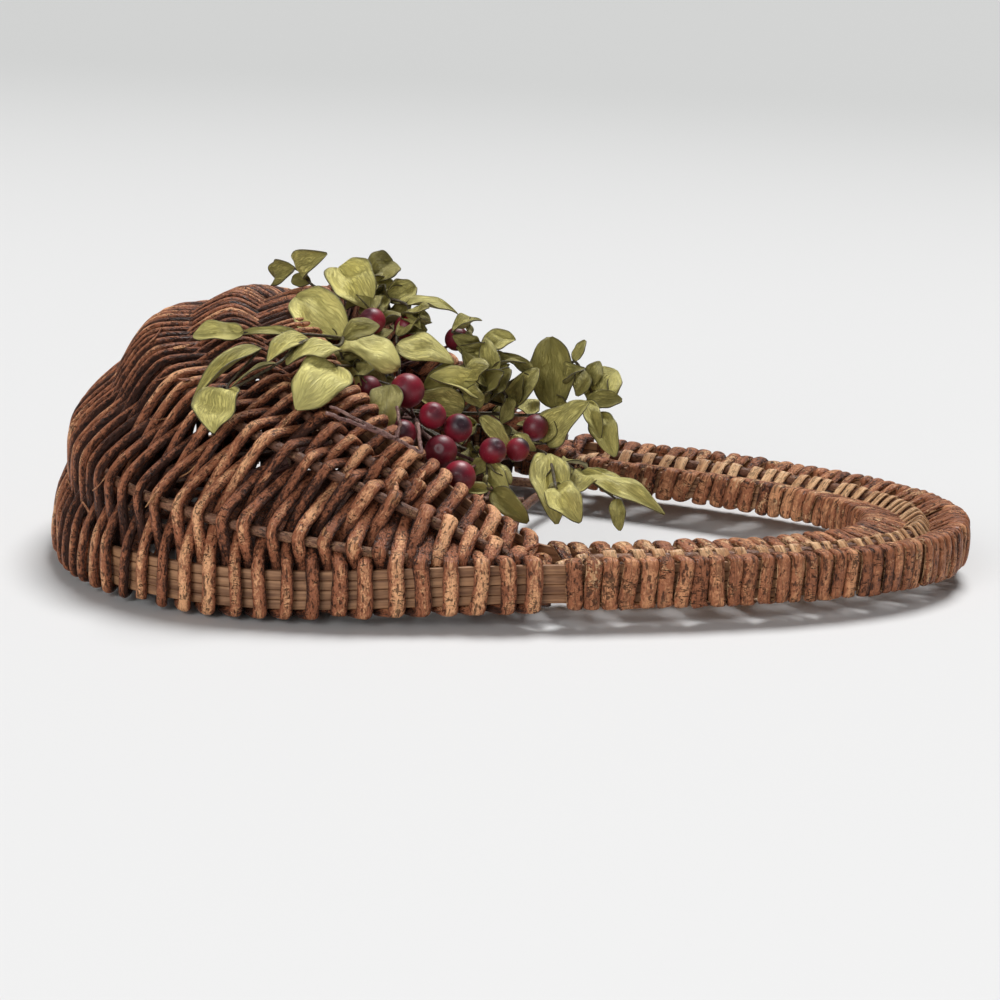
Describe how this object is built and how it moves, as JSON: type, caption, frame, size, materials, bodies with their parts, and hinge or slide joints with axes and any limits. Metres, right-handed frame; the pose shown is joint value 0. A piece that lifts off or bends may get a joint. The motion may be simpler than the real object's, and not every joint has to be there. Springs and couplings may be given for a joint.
{
  "type": "hanging wall basket",
  "caption": "Hanging wall basket of woven willow: an egg-shaped hoop with a wrapped handle loop and a bulging pocket that holds a spray of leaves and berries.",
  "frame": {"origin": "middle of the underside of the basket as it lies on its back, on the plane of the wall", "axes": "+X to the tip of the handle, which is up when it hangs; +Y to the far side in the picture; +Z off the wall, up as it lies"},
  "size_m": [0.3496, 0.2762, 0.108],
  "materials": {
    "frame_reed": "matte, dry tan-brown reed",
    "rib_rod": "matte peeled rod",
    "willow_bark": "satin brown bark, worn orange-brown in places",
    "split_willow": "satin bark outside, pale wood where split",
    "leaf_cloth": "matte olive cloth leaf",
    "twig_stem": "matte brown stem over wire",
    "berry_skin": "glossy dark crimson"
  },
  "bodies": {
    "basket": {"back_hoop_reed_1": "frame_reed", "back_hoop_reed_2": "frame_reed", "back_hoop_reed_3": "frame_reed", "back_hoop_reed_4": "frame_reed", "mouth_hoop_reed_1": "frame_reed", "mouth_hoop_reed_2": "frame_reed", "mouth_hoop_reed_3": "frame_reed", "middle_hoop_rod": "rib_rod", "lower_rib": "rib_rod", "upper_rib": "rib_rod", "back_edge_rod": "rib_rod", "back_rib_1": "rib_rod", "back_rib_2": "rib_rod", "back_rib_3": "rib_rod", "back_rib_4": "rib_rod", "back_rib_5": "rib_rod", "pocket_weaver_1": "willow_bark", "pocket_weaver_2": "willow_bark", "pocket_weaver_3": "willow_bark", "pocket_weaver_4": "willow_bark", "pocket_weaver_5": "willow_bark", "pocket_weaver_6": "willow_bark", "pocket_weaver_7": "willow_bark", "pocket_weaver_8": "willow_bark", "back_weaver_1": "willow_bark", "back_weaver_2": "willow_bark", "handle_winding_far": "split_willow", "handle_winding_near": "split_willow"},
    "spray": {"spray_stem_bundle": "twig_stem", "leaf_sprig_lip": "leaf_cloth", "leaf_sprig_crown": "leaf_cloth", "leaf_sprig_middle": "leaf_cloth", "leaf_sprig_tall": "leaf_cloth", "leaf_sprig_low": "leaf_cloth", "berry_twig_front": "twig_stem", "berry_twig_low": "twig_stem", "berry_twig_back": "twig_stem", "berry_01": "berry_skin", "berry_02": "berry_skin", "berry_03": "berry_skin", "berry_04": "berry_skin", "berry_05": "berry_skin", "berry_06": "berry_skin", "berry_07": "berry_skin", "berry_08": "berry_skin", "berry_09": "berry_skin", "berry_10": "berry_skin", "berry_11": "berry_skin", "berry_12": "berry_skin", "berry_13": "berry_skin"}
  },
  "joints": [
    {"name": "spray_lift", "type": "slide", "parent": "basket", "child": "spray", "axis": [0.6691, 0, 0.7431], "range_m": [0, 0.15]}
  ]
}
